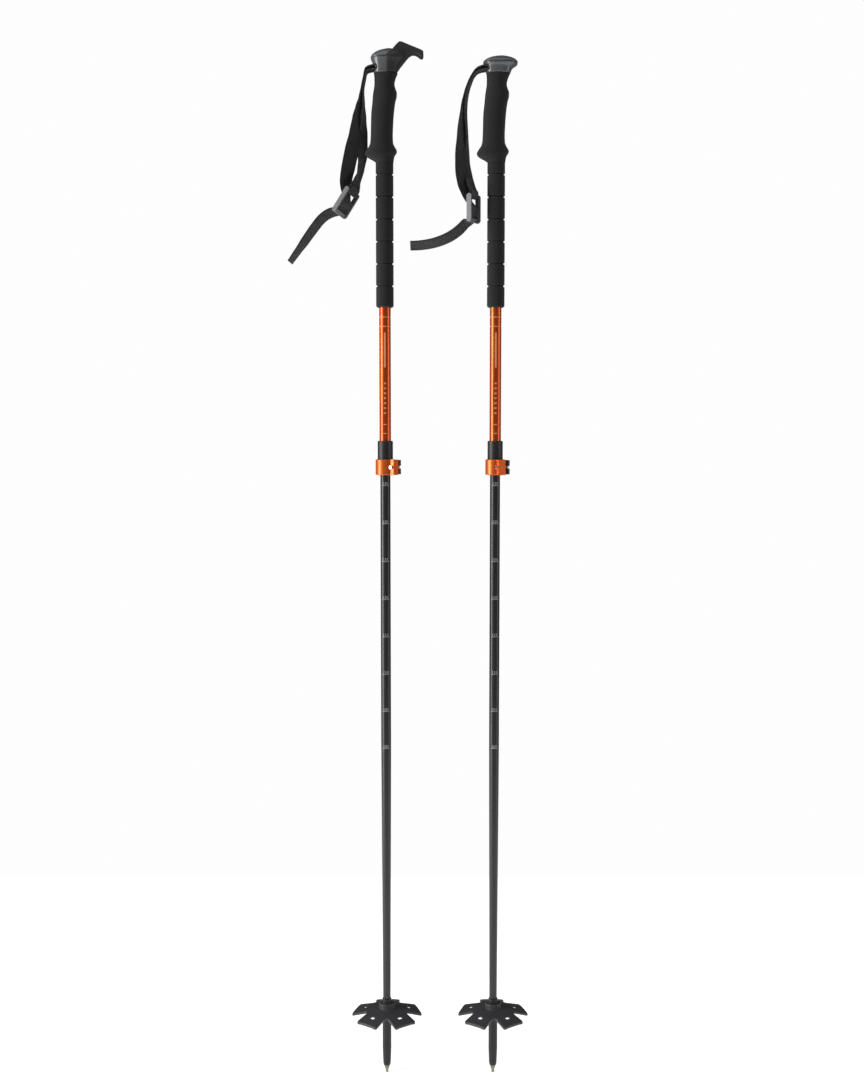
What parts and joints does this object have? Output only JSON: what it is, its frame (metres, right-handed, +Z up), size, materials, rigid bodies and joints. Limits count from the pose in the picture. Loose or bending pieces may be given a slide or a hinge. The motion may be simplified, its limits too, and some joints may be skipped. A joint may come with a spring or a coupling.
{
  "type": "trekking poles",
  "caption": "Pair of two-section touring poles with long foam grips, wrist straps, lever clamps and lobed snow baskets; one grip carries a hook.",
  "frame": {"origin": "centre of the left pole's tip where it meets the ground", "axes": "+Z up along both poles, +X from the left pole to the right pole and towards the front of the grips, -Y towards the camera side"},
  "size_m": [0.3162, 0.0902, 1.3655],
  "materials": {
    "tip_steel": "sintered hard-metal tip",
    "olive_metal": "dull olive-gold plated collar",
    "tip_plastic": "black moulded nylon",
    "basket_plastic": "black moulded basket, satin",
    "black_shaft": "black anodised tube with pale length marks",
    "orange_shaft": "bright orange anodised tube",
    "clamp_plastic": "black moulded clamp sleeve",
    "orange_band": "orange anodised forged band",
    "steel": "zinc plated steel",
    "lever_black": "black moulded lever",
    "foam": "black closed-cell foam, fine grained",
    "grey_gloss": "dark grey glossy plastic",
    "hook_rubber": "black hard rubber",
    "webbing": "black woven polyester webbing",
    "buckle_plastic": "dark grey moulded buckle"
  },
  "bodies": {
    "left_upper": {"left_upper_shaft": "orange_shaft", "left_shaft_plug": "tip_plastic", "left_clamp_sleeve": "clamp_plastic", "left_clamp_band": "orange_band", "left_lever_pin": "steel", "left_foam_sleeve": "foam", "left_grip_core": "tip_plastic", "left_grip_foam": "foam", "left_head": "grey_gloss", "left_cap": "grey_gloss", "left_head_screw": "steel", "left_strap_pin": "steel", "left_strap_anchor": "webbing", "left_hook": "hook_rubber"},
    "left_lower": {"left_lower_shaft": "black_shaft", "left_guide_bush": "tip_plastic", "left_ferrule": "tip_plastic", "left_tip_holder": "olive_metal", "left_tip_insert": "tip_steel"},
    "left_basket_body": {"left_basket": "basket_plastic"},
    "left_lever": {"left_clamp_lever": "lever_black"},
    "left_screw": {"left_tension_screw": "steel"},
    "left_strap": {"left_strap_loop": "webbing", "left_buckle": "buckle_plastic"},
    "right_upper": {"right_upper_shaft": "orange_shaft", "right_shaft_plug": "tip_plastic", "right_clamp_sleeve": "clamp_plastic", "right_clamp_band": "orange_band", "right_lever_pin": "steel", "right_foam_sleeve": "foam", "right_grip_core": "tip_plastic", "right_grip_foam": "foam", "right_head": "grey_gloss", "right_cap": "grey_gloss", "right_head_screw": "steel", "right_strap_pin": "steel", "right_strap_anchor": "webbing"},
    "right_lower": {"right_lower_shaft": "black_shaft", "right_guide_bush": "tip_plastic", "right_ferrule": "tip_plastic", "right_tip_holder": "olive_metal", "right_tip_insert": "tip_steel"},
    "right_basket_body": {"right_basket": "basket_plastic"},
    "right_lever": {"right_clamp_lever": "lever_black"},
    "right_screw": {"right_tension_screw": "steel"},
    "right_strap": {"right_strap_loop": "webbing", "right_buckle": "buckle_plastic"}
  },
  "joints": [
    {"name": "left_length", "type": "slide", "parent": "left_upper", "child": "left_lower", "axis": [0, 0, -1], "range_m": [-0.35, 0.05]},
    {"name": "left_clamp_lever", "type": "hinge", "parent": "left_upper", "child": "left_lever", "pos_m": [0.017, 0, 0.8235], "axis": [0, 0, -1], "range_deg": [0, 150]},
    {"name": "left_tension_screw", "type": "hinge", "parent": "left_upper", "child": "left_screw", "pos_m": [0.01056, -0.00825, 0.8235], "axis": [0.6157, 0.788, 0], "continuous": true},
    {"name": "left_basket_turn", "type": "hinge", "parent": "left_lower", "child": "left_basket_body", "pos_m": [0, 0, 0.085], "axis": [0, 0, 1], "continuous": true},
    {"name": "left_strap_swing", "type": "hinge", "parent": "left_upper", "child": "left_strap", "pos_m": [-0.0195, 0, 1.334], "axis": [0, 1, 0], "range_deg": [0, 90]},
    {"name": "right_pole_lift", "type": "slide", "parent": "left_upper", "child": "right_upper", "axis": [0, 0, 1], "range_m": [0, 0.2]},
    {"name": "right_length", "type": "slide", "parent": "right_upper", "child": "right_lower", "axis": [0, 0, -1], "range_m": [-0.35, 0.05]},
    {"name": "right_clamp_lever", "type": "hinge", "parent": "right_upper", "child": "right_lever", "pos_m": [0.15928, -0.00745, 0.8235], "axis": [0, 0, -1], "range_deg": [0, 150]},
    {"name": "right_tension_screw", "type": "hinge", "parent": "right_upper", "child": "right_screw", "pos_m": [0.14987, -0.01204, 0.8235], "axis": [0.8988, 0.4384, 0], "continuous": true},
    {"name": "right_basket_turn", "type": "hinge", "parent": "right_lower", "child": "right_basket_body", "pos_m": [0.144, 0, 0.085], "axis": [0, 0, 1], "continuous": true},
    {"name": "right_strap_swing", "type": "hinge", "parent": "right_upper", "child": "right_strap", "pos_m": [0.1245, 0, 1.334], "axis": [-0.7071, 0.7071, 0], "range_deg": [0, 75]}
  ]
}
